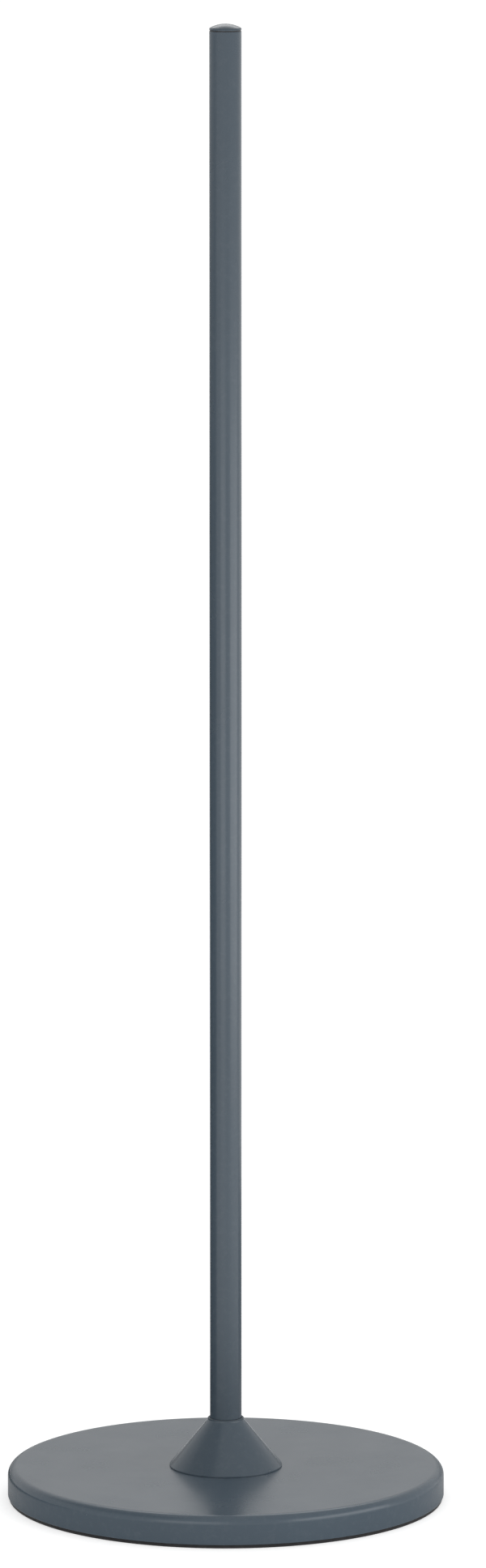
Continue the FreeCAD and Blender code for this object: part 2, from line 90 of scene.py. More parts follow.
# Base bolt and its washers; the split's width and slant are angles in radians.
BOLT_RADIUS = 6 * MM
BOLT_PITCH = 1.75 * MM
BOLT_HOLE = 6.6 * MM
BOLT_FLATS = 19 * MM
BOLT_PLAIN = 8 * MM
BOLT_DIMPLE = 6.5 * MM
BOLT_DIMPLE_DEPTH = 0.4 * MM
BOLT_SEAT_HEIGHT = 0.5 * MM
SPLIT_GAP = 0.12
SPLIT_SLANT = 0.14

# Foot joint: plug, welded flange and spring pins.
PLUG_SPIGOT = 10 * MM
FLANGE_THICKNESS = 6 * MM
WELD_RIPPLES = 44
WELD_BULGE = 0.05
PIN_RADIUS = 2 * MM
PIN_CIRCLE = 26 * MM
PIN_WALL = 0.6 * MM
PIN_BEVEL = 0.5 * MM

# Pole and the threaded bush in its upper end.
POLE_WALL = 1.5 * MM
RECESS_DEPTH = 0.4 * MM
RECESS_WIDTH = 3.6 * MM
RECESS_RISE = 0.1 * MM
HEAD_THREAD_RADIUS = 5 * MM
HEAD_THREAD_PITCH = 1.5 * MM

# Collar with its grommet and felt.
COLLAR_WALL = 1.5 * MM
COLLAR_RIM = 1 * MM
COLLAR_ROUNDING = 2 * MM
RIM_LIP = 0.6 * MM
HEM_WIDTH = 4 * MM
HEM_THICKNESS = 1.2 * MM
NECK_RADIUS = 14.6 * MM
NECK_HEIGHT = 1.2 * MM
NECK_WALL = 0.8 * MM
LIP_HEIGHT = 0.5 * MM
LIP_ROUNDING = 0.4 * MM
SLIDE_GAP = 0.25 * MM
FELT_WIDTH = 3 * MM
FELT_EDGE = 0.12 * MM
FELT_WOBBLE = 0.06 * MM

# Cap.
CROWN_HEIGHT = 3.4 * MM
CAP_EDGE = 1.4 * MM
CAP_ROUNDING = 1.2 * MM
SPIGOT_RADIUS = 10.9 * MM
ORING_SECTION = 0.75 * MM

# The camera: a long lens, in millimetres, that looks down by this many degrees.
LENS = 205.0
CAMERA_PLACE = (0.0138, -7.0, 1.692)
CAMERA_PITCH = 9.026

# The studio: the sky's brightness at each sine of the angle above the horizon, and a white floor
# that gives off a little light of its own, so that it stays white far away.
SKY = ((0.0, 1.0), (0.03, 1.0), (0.07, 0.72), (1.0, 0.78))
FLOOR_HALF = 60.0
FLOOR_WHITE = 0.72
FLOOR_GLOW = 0.5


# ---------------------------------------------------------------- camera, floor and light


def make_camera():
    """Seven metres away and 1.7 m up, so that the base is seen from 13.6 degrees above."""
    data = bpy.data.cameras.new("camera")
    data.lens = LENS
    camera = bpy.data.objects.new("camera", data)
    camera.location = CAMERA_PLACE
    camera.rotation_euler = (math.radians(90 - CAMERA_PITCH), 0, 0)
    bpy.context.collection.objects.link(camera)
    bpy.context.scene.camera = camera


def studio_floor():
    """A wide white floor that reaches past everything the camera sees."""
    mesh = bpy.data.meshes.new("studio_floor")
    sides = ((-1, -1), (1, -1), (1, 1), (-1, 1))
    corners = [(FLOOR_HALF * across, FLOOR_HALF * along, 0) for across, along in sides]
    mesh.from_pydata(corners, [], [(0, 1, 2, 3)])
    floor = bpy.data.objects.new("studio_floor", mesh)
    bpy.context.collection.objects.link(floor)
    surface = Surface("studio_floor", (FLOOR_WHITE,) * 3, roughness=1.0, specular=0.1)
    surface.shader.inputs["Emission Color"].default_value = (1, 1, 1, 1)
    surface.shader.inputs["Emission Strength"].default_value = FLOOR_GLOW
    floor.data.materials.append(surface.material)


def studio_world():
    """An even soft light, white at the horizon so that the floor has no far edge."""
    world = bpy.data.worlds.new("studio")
    bpy.context.scene.world = world
    world.use_nodes = True
    nodes, links = world.node_tree.nodes, world.node_tree.links
    direction = nodes.new("ShaderNodeTexCoord")
    height = nodes.new("ShaderNodeSeparateXYZ")
    ramp = nodes.new("ShaderNodeValToRGB")
    links.new(direction.outputs["Generated"], height.inputs["Vector"])
    links.new(height.outputs["Z"], ramp.inputs["Fac"])
    links.new(ramp.outputs["Color"], nodes["Background"].inputs["Color"])
    stops = ramp.color_ramp.elements
    stops[0].position, stops[1].position = SKY[0][0], SKY[-1][0]
    for place, _ in SKY[1:-1]:
        stops.new(place)
    for stop, (_, level) in zip(stops, SKY):
        stop.color = (level, level, level, 1)


def at_azimuth(azimuth, distance, height):
    """A place round the pole; azimuth 0 is the camera's side and 90 the object's right."""
    turn = math.radians(azimuth)
    return Vector((math.sin(turn) * distance, -math.cos(turn) * distance, height))


def softbox(name, azimuth, distance, height, width, tall, power):
    """An upright soft light that faces the pole."""
    data = bpy.data.lights.new(name, "AREA")
    data.shape = "RECTANGLE"
    data.size, data.size_y, data.energy = width, tall, power
    light = bpy.data.objects.new(name, data)
    light.location = at_azimuth(azimuth, distance, height)
    light.rotation_euler = (math.radians(90), 0, math.radians(azimuth))
    light.visible_camera = False
    bpy.context.collection.objects.link(light)


def cloth(name, corners, faces, shade):
    """Studio cloth that is only seen in reflections, where it darkens a part of the object."""
    mesh = bpy.data.meshes.new(name)
    mesh.from_pydata(corners, [], faces)
    panel = bpy.data.objects.new(name, mesh)
    panel.visible_camera = False
    panel.visible_diffuse = False
    panel.visible_shadow = False
    bpy.context.collection.objects.link(panel)
    panel.data.materials.append(Surface(name, (shade,) * 3, roughness=1.0, specular=0.0).material)


def floor_cloth(name, azimuth, half_angle, near, far, shade):
    """A wedge of cloth on the floor, which opens away from the pole."""
    left, right = azimuth - half_angle, azimuth + half_angle
    places = ((left, near), (right, near), (right, far), (left, far))
    cloth(name, [at_azimuth(turn, distance, 2 * MM) for turn, distance in places], [(0, 1, 2, 3)], shade)


def hung_cloth(name, azimuth, half_angle, distance, low, high, shade):
    """An upright cloth that hangs to one side of the pole, between two heights."""
    left, right = azimuth - half_angle, azimuth + half_angle
    places = ((left, low), (right, low), (right, high), (left, high))
    cloth(name, [at_azimuth(turn, distance, height) for turn, height in places], [(0, 1, 2, 3)], shade)


def floor_shade_ring(name, near, far, shade, steps=64):
    """A grey ring of cloth on the floor round the base: painted shade, seen only in reflections, that
    stands in for the floor's shade next to the base.
    """
    corners = []
    for reach in (near, far):
        corners += [at_azimuth(360 * step / steps, reach, 1 * MM) for step in range(steps)]
    faces = []
    for step in range(steps):
        following = (step + 1) % steps
        faces.append((step, following, steps + following, steps + step))
    cloth(name, corners, faces, shade)


# ---------------------------------------------------------------- materials


class Surface:
    """A material built from noise in the object's own metres, so a pattern keeps its real size."""

    def __init__(self, name, colour, roughness, metallic=0.0, specular=0.5):
        self.material = bpy.data.materials.new(name)
        self.material.use_nodes = True
        self.nodes = self.material.node_tree.nodes
        self.links = self.material.node_tree.links
        self.shader = self.nodes["Principled BSDF"]
        self.shader.inputs["Base Color"].default_value = (*colour, 1)
        self.shader.inputs["Roughness"].default_value = roughness
        self.shader.inputs["Metallic"].default_value = metallic
        self.shader.inputs["Specular IOR Level"].default_value = specular
        self.place = self.nodes.new("ShaderNodeTexCoord").outputs["Object"]
        self.relief = None

    def stretched(self, x, y, z):
        """The object's coordinates scaled per axis, for grain that runs one way."""
        mapping = self.nodes.new("ShaderNodeMapping")
        mapping.inputs["Scale"].default_value = (x, y, z)
        self.links.new(self.place, mapping.inputs["Vector"])
        return mapping.outputs["Vector"]

    def noise(self, size, detail=2.0, place=None, rough=0.5):
        """Cloudy noise whose blotches are about size metres across."""
        node = self.nodes.new("ShaderNodeTexNoise")
        node.inputs["Scale"].default_value = 1 / size
        node.inputs["Detail"].default_value = detail
        node.inputs["Roughness"].default_value = rough
        self.links.new(place or self.place, node.inputs["Vector"])
        return node.outputs["Fac"]

    def cells(self, size):
        """Distance to the middle of the nearest cell, for foam and grain."""
        node = self.nodes.new("ShaderNodeTexVoronoi")
        node.inputs["Scale"].default_value = 1 / size
        self.links.new(self.place, node.inputs["Vector"])
        return node.outputs["Distance"]

    def spread(self, value, low, high, start=0.3, end=0.7):
        """A noise value mapped from start..end to low..high."""
        node = self.nodes.new("ShaderNodeMapRange")
        for socket, number in (("From Min", start), ("From Max", end), ("To Min", low), ("To Max", high)):
            node.inputs[socket].default_value = number
        self.links.new(value, node.inputs["Value"])
        return node.outputs["Result"]

    def colour(self, factor, dark, light):
        """Base colour between dark and light; a second call varies the colour that is there."""
        node = self.nodes.new("ShaderNodeMix")
        node.data_type = "RGBA"
        node.inputs["A"].default_value = (*dark, 1)
        node.inputs["B"].default_value = (*light, 1)
        self.links.new(factor, node.inputs["Factor"])
        earlier = self.shader.inputs["Base Color"].links
        if earlier:
            self.links.new(earlier[0].from_socket, node.inputs["A"])
        self.links.new(node.outputs["Result"], self.shader.inputs["Base Color"])

    def roughness(self, value, low, high):
        """Roughness that follows a noise value from low to high."""
        self.links.new(self.spread(value, low, high), self.shader.inputs["Roughness"])

    def bump(self, height, depth):
        """Relief of the given depth in metres on top of any earlier relief."""
        node = self.nodes.new("ShaderNodeBump")
        node.inputs["Distance"].default_value = depth
        self.links.new(height, node.inputs["Height"])
        if self.relief:
            self.links.new(self.relief, node.inputs["Normal"])
        self.relief = node.outputs["Normal"]
        self.links.new(self.relief, self.shader.inputs["Normal"])


def scaled(colour, factor):
    """A colour made darker or lighter."""
    return tuple(channel * factor for channel in colour)


def slate_coat():
    """Satin powder coat: fine orange peel, faint cloudiness and a trace of dust."""
    slate = (0.050, 0.071, 0.092)
    surface = Surface("slate_coat", slate, 0.2)
    clouds = surface.spread(surface.noise(250 * MM, 3), 0, 1)
    surface.colour(clouds, scaled(slate, 0.95), scaled(slate, 1.05))
    dust = surface.spread(surface.noise(6 * MM, 6, rough=0.7), 0, 0.05, 0.5, 0.8)
    surface.colour(dust, slate, (0.30, 0.31, 0.32))
    surface.roughness(surface.noise(40 * MM, 4), 0.23, 0.28)
    surface.bump(surface.noise(1.6 * MM, 2), 0.006 * MM)
    surface.bump(surface.noise(0.35 * MM, 1), 0.002 * MM)
    return surface.material


def black_rubber():
    """Dull moulded rubber."""
    rubber = (0.012, 0.012, 0.013)
    surface = Surface("black_rubber", rubber, 0.65, specular=0.3)
    clouds = surface.spread(surface.noise(4 * MM, 5), 0, 1)
    surface.colour(clouds, scaled(rubber, 0.8), scaled(rubber, 1.5))
    surface.roughness(surface.noise(2 * MM, 3), 0.55, 0.75)
    surface.bump(surface.noise(0.5 * MM, 4), 0.02 * MM)
    return surface.material


def slate_rubber():
    """Rubber moulded in the colour of the coat."""
    rubber = (0.055, 0.073, 0.090)
    surface = Surface("slate_rubber", rubber, 0.5, specular=0.45)
    clouds = surface.spread(surface.noise(4 * MM, 5), 0, 1)
    surface.colour(clouds, scaled(rubber, 0.92), scaled(rubber, 1.08))
    surface.roughness(surface.noise(2 * MM, 3), 0.42, 0.58)
    surface.bump(surface.noise(0.5 * MM, 4), 0.01 * MM)
    return surface.material


def cast_iron():
    """Sand-cast iron with a little rust."""
    iron = (0.060, 0.060, 0.062)
    surface = Surface("cast_iron", iron, 0.55, metallic=0.6)
    clouds = surface.spread(surface.noise(30 * MM, 5), 0, 1)
    surface.colour(clouds, scaled(iron, 0.7), scaled(iron, 1.3))
    rust = surface.spread(surface.noise(9 * MM, 6, rough=0.65), 0, 0.5, 0.55, 0.75)
    surface.colour(rust, iron, (0.085, 0.045, 0.025))
    surface.roughness(surface.noise(5 * MM, 4), 0.42, 0.68)
    surface.bump(surface.noise(6 * MM, 3), 0.35 * MM)
    surface.bump(surface.noise(1.1 * MM, 4), 0.16 * MM)
    return surface.material


def grey_foam():
    """Open-celled foam."""
    foam = (0.110, 0.110, 0.115)
    surface = Surface("grey_foam", foam, 0.9, specular=0.2)
    pores = surface.spread(surface.cells(0.9 * MM), 0, 1, 0.1, 0.7)
    surface.colour(pores, scaled(foam, 1.15), scaled(foam, 0.6))
    surface.roughness(surface.noise(3 * MM, 2), 0.82, 0.95)
    surface.bump(surface.cells(0.9 * MM), 0.25 * MM)
    return surface.material


def fibre_gasket():
    """Pressed fibre sheet with short strands."""
    fibre = (0.050, 0.046, 0.042)
    surface = Surface("fibre_gasket", fibre, 0.8, specular=0.3)
    strands = surface.noise(0.8 * MM, 5, place=surface.stretched(1, 6, 1), rough=0.7)
    surface.colour(surface.spread(strands, 0, 1), scaled(fibre, 0.65), scaled(fibre, 1.6))
    surface.roughness(surface.noise(2 * MM, 3), 0.7, 0.9)
    surface.bump(strands, 0.06 * MM)
    return surface.material


def zinc_steel():
    """Zinc-plated steel, from bluish to faintly yellow."""
    surface = Surface("zinc_steel", (0.56, 0.57, 0.56), 0.32, metallic=1.0)
    clouds = surface.spread(surface.noise(5 * MM, 4), 0, 1)
    surface.colour(clouds, (0.47, 0.49, 0.50), (0.63, 0.63, 0.60))
    surface.roughness(surface.noise(1.5 * MM, 4), 0.25, 0.42)
    surface.bump(surface.noise(0.4 * MM, 3), 0.012 * MM)
    return surface.material


def primed_steel():
    """Steel in grey primer."""
    primer = (0.070, 0.075, 0.080)
    surface = Surface("primed_steel", primer, 0.6)
    clouds = surface.spread(surface.noise(12 * MM, 5), 0, 1)
    surface.colour(clouds, scaled(primer, 0.8), scaled(primer, 1.25))
    surface.roughness(surface.noise(3 * MM, 3), 0.5, 0.72)
    surface.bump(surface.noise(0.7 * MM, 4), 0.05 * MM)
    return surface.material


def turned_brass():
    """Brass with the fine rings of the turning tool."""
    surface = Surface("brass", (0.64, 0.48, 0.23), 0.28, metallic=1.0)
    passes = surface.noise(0.5 * MM, 2, place=surface.stretched(0.02, 0.02, 1))
    clouds = surface.spread(surface.noise(4 * MM, 4), 0, 1)
    surface.colour(clouds, (0.50, 0.35, 0.15), (0.70, 0.53, 0.27))
    surface.roughness(passes, 0.2, 0.38)
    surface.bump(passes, 0.02 * MM)
    return surface.material


def black_felt():
    """Pressed wool felt."""
    felt = (0.020, 0.020, 0.021)
    surface = Surface("black_felt", felt, 0.95, specular=0.1)
    hairs = surface.noise(0.5 * MM, 6, place=surface.stretched(3, 1, 1), rough=0.75)
    surface.shader.inputs["Sheen Weight"].default_value = 0.4
    surface.shader.inputs["Sheen Roughness"].default_value = 0.5
    surface.colour(surface.spread(hairs, 0, 1), scaled(felt, 0.6), scaled(felt, 2.0))
    surface.roughness(surface.noise(1 * MM, 3), 0.88, 0.98)
    surface.bump(hairs, 0.12 * MM)
    return surface.material


def black_nylon():
    """Moulded nylon with a slight sheen. Its near-black is partly the nylon's own colour and partly painted
    shade of the seam under the cap.
    """
    # Near-black: the washer's own colour, and painted shade of the seam between cap and pole.
    nylon = (0.035, 0.037, 0.040)
    surface = Surface("black_nylon", nylon, 0.4, specular=0.45)
    clouds = surface.spread(surface.noise(3 * MM, 4), 0, 1)
    surface.colour(clouds, scaled(nylon, 0.85), scaled(nylon, 1.25))
    surface.roughness(surface.noise(1 * MM, 3), 0.34, 0.48)
    surface.bump(surface.noise(0.3 * MM, 2), 0.008 * MM)
    return surface.material


# ---------------------------------------------------------------- mesh tools


def outer_radius(node):
    """Outer radius of a turned node."""
    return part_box(node)[1].x


def span(node):
    """Lowest and highest height of a node."""
    low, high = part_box(node)
    return low.z, high.z


def rounded(corners, steps=6):
    """Outline points from corners (radius, height, rounding): a rounded corner becomes an arc, with a
    point just before and after it that keeps the flat stretches flat when they are shaded smooth."""
    points = []
    for index, corner in enumerate(corners):
        here = Vector(corner[:2])
        size = corner[2] if len(corner) == 3 else 0
        if not size:
            points.append(tuple(here))
            continue
        back = (Vector(corners[index - 1][:2]) - here).normalized()
        ahead = (Vector(corners[(index + 1) % len(corners)][:2]) - here).normalized()
        half = back.angle(ahead) / 2
        centre = here + (back + ahead).normalized() * (size / math.sin(half))
        reach = size / math.tan(half)
        start, end = here + back * reach - centre, here + ahead * reach - centre
        sweep = math.atan2(start.cross(end), start.dot(end))
        points.append(tuple(centre + start + back * size * 0.15))
        for step in range(steps + 1):
            points.append(tuple(centre + Matrix.Rotation(sweep * step / steps, 2) @ start))
        points.append(tuple(centre + end + ahead * size * 0.15))
    return points


def turned(name, rows, segments=128, closed=True):
    """A turned mesh about the pole's axis. A row is (radius, height), or a function of the angle that
    returns them. Rows go up the outside and down the inside; a row on the axis is one vertex."""
    shape = bmesh.new()
    rings = []
    for row in rows:
        if not callable(row) and row[0] < 1e-7:
            rings.append([shape.verts.new((0, 0, row[1]))] * segments)
            continue
        ring = []
        for index in range(segments):
            angle = TURN * index / segments
            radius, height = row(angle) if callable(row) else row
            ring.append(shape.verts.new((radius * math.cos(angle), radius * math.sin(angle), height)))
        rings.append(ring)
    pairs = list(zip(rings, rings[1:] + rings[:1])) if closed else list(zip(rings, rings[1:]))
    for lower, upper in pairs:
        for index in range(segments):
            following = (index + 1) % segments
            loop = [lower[index], lower[following], upper[following], upper[index]]
            corners = [vert for place, vert in enumerate(loop) if vert not in loop[:place]]
            if len(corners) > 2:
                shape.faces.new(corners)
    return finished(name, shape)


def finished(name, shape):
    """The object of a bmesh, smooth apart from its sharp edges."""
    bmesh.ops.recalc_face_normals(shape, faces=shape.faces)
    mesh = bpy.data.meshes.new(name)
    shape.to_mesh(mesh)
    shape.free()
    mesh.shade_smooth()
    mesh.set_sharp_from_angle(angle=SHARP_EDGE)
    piece = bpy.data.objects.new(name, mesh)
    bpy.context.collection.objects.link(piece)
    return piece


def join_shapes(piece, others, operation):
    """Cut the others from the piece, or fuse them with it, and remove them."""
    for other in others:
        modifier = piece.modifiers.new(operation.lower(), "BOOLEAN")
        modifier.operation = operation
        modifier.solver = "EXACT"
        modifier.object = other
    depsgraph = bpy.context.evaluated_depsgraph_get()
    mesh = bpy.data.meshes.new_from_object(piece.evaluated_get(depsgraph))
    piece.modifiers.clear()
    piece.data = mesh
    mesh.shade_smooth()
    mesh.set_sharp_from_angle(angle=SHARP_EDGE)
    for other in others:
        bpy.data.objects.remove(other)
    return piece


def copies_round(name, make, circle, count):
    """One mesh of equal pieces on a circle round the pole."""
    merged = bmesh.new()
    for index in range(count):
        one = make()
        turn = TURN * index / count
        one.data.transform(Matrix.Translation((circle * math.cos(turn), circle * math.sin(turn), 0)))
        merged.from_mesh(one.data)
        bpy.data.objects.remove(one)
    return finished(name, merged)


def pin_cutters(low, high):
    """Cylinders where the spring pins go."""
    radius = PIN_RADIUS + FIT_GAP
    rows = [(0, low), (radius, low), (radius, high), (0, high)]
    cutters = []
    for side in (1, -1):
        cutter = turned("pin_cutter", rows, 48, closed=False)
        cutter.data.transform(Matrix.Translation((side * PIN_CIRCLE, 0, 0)))
        cutters.append(cutter)
    return cutters


def thread(major, pitch, low, high, outside=True):
    """Rows of a right-hand thread from low to high, fading out at both ends. An inside thread has the
    same turns, so a bolt and its nut mesh."""
    depth = 0.6 * pitch
    rows_per_turn = 10

    def row_at(height):
        fade = min(1.0, (height - low) / pitch, (high - height) / pitch)

        def row(angle):
            turn = (height / pitch - angle / TURN) % 1.0
            # 1 on the flat crest, 0 in the flat root and a slope between them.
            crest = min(1.0, max(0.0, 1.35 * abs(2 * turn - 1) - 0.15))
            if outside:
                return major - depth * (1 - crest * fade), height
            return major - depth * crest * fade, height

        return row

    count = int((high - low) / pitch * rows_per_turn)
    rows = [row_at(low + (high - low) * index / count) for index in range(count + 1)]
    return rows if outside else rows[::-1]


def dress(piece, body, node, surface):
    """Everything a new piece needs: its material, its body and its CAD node."""
    piece.data.materials.clear()
    piece.data.materials.append(surface)
    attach(piece, body)
    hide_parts(node)


# ---------------------------------------------------------------- base


def rubber_foot_ring():
    """Rubber ring under the base, with two rounded grooves and a notched land between them."""
    outer = outer_radius("floor_ring")
    low, high = span("floor_ring")
    foot = low + RING_FOOT
    inner = outer - RING_WIDTH
    lip = outer + RING_INSET - COVER_WALL - 0.2 * MM
    groove_top = low + RING_GROOVE
    grooves = (inner + RING_WIDTH / 3, inner + RING_WIDTH * 2 / 3)
    corners = [(inner, low, 0.5 * MM)]
    for middle in grooves:
        near, far = middle - RING_GROOVE, middle + RING_GROOVE
        corners += [(near, low, 0.2 * MM), (near, groove_top, 0.4 * MM)]
        corners += [(far, groove_top, 0.4 * MM), (far, low, 0.2 * MM)]
    corners += [
        (outer, low, 1 * MM),
        (outer, foot, EDGE),
        (lip, foot),
        (lip, high, 0.3 * MM),
        (lip - RING_LIP, high, 0.3 * MM),
        (lip - RING_LIP, foot, EDGE),
        (inner, foot, EDGE),
    ]
    land = (grooves[0] + RING_GROOVE, grooves[1] - RING_GROOVE)

    def notched(radius, height):
        def row(angle):
            place = (angle * RING_NOTCHES / TURN) % 1.0
            return radius, height + (RING_NOTCH_DEPTH if place < RING_NOTCH_SHARE else 0)

        return row

    rows = []
    for radius, height in rounded(corners, 4):
        on_land = land[0] < radius < land[1] and height < low + 0.25 * MM
        rows.append(notched(radius, height) if on_land else (radius, height))
    return turned("rubber_foot_ring", rows, 720)


def cover_shell():
    """Spun steel cover: one sheet, rounded over at the rim, with a fine hem at the lower edge."""
    outer = outer_radius("base_cover")
    low, high = span("base_cover")
    hole = PLUG_SPIGOT + 0.2 * MM
    corners = [
        (hole, high - COVER_WALL, EDGE),
        (outer - COVER_WALL, high - COVER_WALL, COVER_ROUNDING - COVER_WALL),
        (outer - COVER_WALL, low, COVER_HEM),
        (outer, low, COVER_HEM),
        (outer, high, COVER_ROUNDING),
        (hole, high, EDGE),
    ]
    shell = turned("cover_shell", rounded(corners, 10), 320)
    return join_shapes(shell, pin_cutters(high - 3 * MM, high + 2 * MM), "DIFFERENCE")


def ballast_rib(name, low, high, near, far):
    """One cast rib: drafted sides that flare into the web above."""
    shape = bmesh.new()
    flare = RIB_FLARE
    half = RIB_WIDTH / 2
    section = [(-half + BALLAST_DRAFT / 2, low + CAST_ROUNDING / 2), (-half + BALLAST_DRAFT, low)]
    section += [(-x, z) for x, z in section[::-1]]
    right = [(half, high - flare)]
    for step in range(1, 7):
        turn = math.pi / 2 * step / 6
        right.append((half + flare * (1 - math.cos(turn)), high - flare + flare * math.sin(turn)))
    section += right + [(half + flare, high + 1 * MM), (-half - flare, high + 1 * MM)]
    section += [(-x, z) for x, z in right[::-1]]
    ends = [[shape.verts.new((x, y, z)) for y, z in section] for x in (near, far)]
    count = len(section)
    for index in range(count):
        following = (index + 1) % count
        shape.faces.new([ends[0][index], ends[0][following], ends[1][following], ends[1][index]])
    shape.faces.new(ends[0])
    shape.faces.new(ends[1])
    return finished(name, shape)


def ballast_casting():
    """Cast-iron weight with drafted, rounded walls, eight ribs below and the seats of the foot joint."""
    outer = outer_radius("ballast_disc")
    low, high = span("ballast_disc")
    pad_bottom = span("rattle_pads")[0]
    web = pad_bottom - BALLAST_WEB
    rim = outer - BALLAST_RIM
    recess_top = span("plain_washer")[1]
    seat = span("foot_plug")[0] - 0.2 * MM
    plug = PLUG_SPIGOT + 0.1 * MM
    corners = [
        (HUB_RECESS, low, 0.6 * MM),
        (BALLAST_HUB - BALLAST_DRAFT, low, CAST_ROUNDING),
        (BALLAST_HUB, web, 3 * MM),
        (rim, web, 3 * MM),
        (rim + BALLAST_DRAFT, low, CAST_ROUNDING),
        (outer, low, CAST_ROUNDING),
        (outer, pad_bottom - BALLAST_BEVEL, CAST_ROUNDING),
        (outer - BALLAST_BEVEL, pad_bottom, CAST_ROUNDING),
        (BALLAST_BOSS + 1 * MM, pad_bottom, 0.5 * MM),
        (BALLAST_BOSS, high, 0.3 * MM),
        (plug, high, EDGE),
        (plug, seat),
        (BOLT_HOLE, seat, EDGE),
        (BOLT_HOLE, recess_top, EDGE),
        (HUB_RECESS, recess_top, 0.6 * MM),
    ]
    casting = turned("ballast_casting", rounded(corners, 5), 192)
    ribs = []
    for index in range(RIB_COUNT):
        near, far = BALLAST_HUB - RIB_WIDTH / 2, rim + RIB_WIDTH / 2
        rib = ballast_rib("rib_tool", web - RIB_HEIGHT, web, near, far)
        rib.data.transform(Matrix.Rotation(TURN * index / RIB_COUNT, 4, "Z"))
        ribs.append(rib)
    casting = join_shapes(casting, ribs, "UNION")
    pins = span("locating_pins")[0] - FIT_GAP
    return join_shapes(casting, pin_cutters(pins, high + 2 * MM), "DIFFERENCE")


def foam_pads():
    """Six foam pads, crowned and a little soft at the edge."""
    low, high = span("rattle_pads")

    def pad():
        edge = 0.45 * (high - low)
        rows = [(0, low + PAD_CROWN), (PAD_RADIUS * 0.6, low + PAD_CROWN / 2)]
        rows += rounded([(PAD_RADIUS * 0.8, low), (PAD_RADIUS, low, edge), (PAD_RADIUS, high, edge)], 5)[1:]
        rows += [(PAD_RADIUS * 0.8, high - PAD_CROWN / 4), (0, high)]
        return turned("pad", rows, 64, closed=False)

    return copies_round("foam_pads", pad, PAD_CIRCLE, PAD_COUNT)


# ---------------------------------------------------------------- foot joint


def hexagon_radius(angle, flats):
    """Distance from the axis to the side of a hexagon."""
    return flats / 2 / math.cos((angle + math.pi / 6) % (math.pi / 3) - math.pi / 6)


def hex_bolt():
    """Hexagon bolt: bevelled head with a washer face, plain shank and a rolled thread."""
    low, high = span("base_bolt")
    seat = span("spring_washer")[0]
    shank = BOLT_RADIUS - FIT_GAP
    flat_face = BOLT_FLATS / 2 - 0.5 * MM

    def head(height):
        def row(angle):
            bevel = flat_face + (height - low) * math.sqrt(3)
            return min(hexagon_radius(angle, BOLT_FLATS), bevel), height

        return row

    dimple = low + BOLT_DIMPLE_DEPTH
    rows = [(0, dimple), (BOLT_DIMPLE, dimple), (BOLT_DIMPLE + 0.5 * MM, low), (flat_face, low)]
    rows += [head(low + step * 0.25 * MM) for step in range(1, 6)]
    rows += [head(seat - 0.6 * MM), (flat_face, seat - BOLT_SEAT_HEIGHT), (flat_face, seat)]
    rows += rounded([(flat_face, seat), (shank, seat, 0.4 * MM), (shank, seat + BOLT_PLAIN)], 4)[1:-1]
    rows += [(shank, seat + BOLT_PLAIN)]
    rows += thread(shank, BOLT_PITCH, seat + BOLT_PLAIN + 0.3 * MM, high - 0.6 * MM)
    rows += [(shank - 1.2 * MM, high), (0, high)]
    return turned("hex_bolt", rows, 72, closed=False)


def split_washer():
    """Spring washer: a square section with worn edges, split at a slant."""
    outer = outer_radius("spring_washer")
    low, high = span("spring_washer")
    shape = bmesh.new()
    corners = ((BOLT_HOLE, low), (outer, low), (outer, high), (BOLT_HOLE, high))
    section = rounded([(radius, height, EDGE) for radius, height in corners], 3)
    steps = 120
    ends = []
    for step in range(steps + 1):
        ring = []
        for radius, height in section:
            lean = SPLIT_SLANT * ((height - low) / (high - low) - 0.5)
            angle = SPLIT_GAP / 2 + lean + (TURN - SPLIT_GAP) * step / steps
            ring.append(shape.verts.new((radius * math.cos(angle), radius * math.sin(angle), height)))
        ends.append(ring)
    count = len(section)
    for first, second in zip(ends, ends[1:]):
        for index in range(count):
            following = (index + 1) % count
            shape.faces.new([first[index], first[following], second[following], second[index]])
    shape.faces.new(ends[0])
    shape.faces.new(ends[-1])
    return finished("split_washer", shape)


def flat_washer():
    """Punched washer: rounded on the side the punch entered, crisp on the other."""
    outer = outer_radius("plain_washer")
    low, high = span("plain_washer")
    corners = [
        (BOLT_HOLE, low, 0.15 * MM),
        (outer, low, 0.15 * MM),
        (outer, high, 0.6 * MM),
        (BOLT_HOLE, high, 0.4 * MM),
    ]
    return turned("flat_washer", rounded(corners, 5), 96)


def threaded_foot_plug():
    """Steel plug in the foot of the pole, tapped for the base bolt."""
    outer = outer_radius("foot_plug")
    low, high = span("foot_plug")
    shoulder = span("pole_tube")[0]
    corners = [
        (BOLT_RADIUS + 0.5 * MM, low, 0.1 * MM),
        (PLUG_SPIGOT, low, 0.5 * MM),
        (PLUG_SPIGOT, shoulder, 0.1 * MM),
        (outer, shoulder, EDGE),
        (outer, high - 0.75 * MM, 0.1 * MM),
        (outer - 0.75 * MM, high, 0.1 * MM),
        (BOLT_RADIUS + 0.5 * MM, high, 0.1 * MM),
    ]
    rows = rounded(corners, 4)
    rows += thread(BOLT_RADIUS, BOLT_PITCH, low + 0.5 * MM, high - 0.5 * MM, outside=False)
    return turned("threaded_foot_plug", rows, 72)


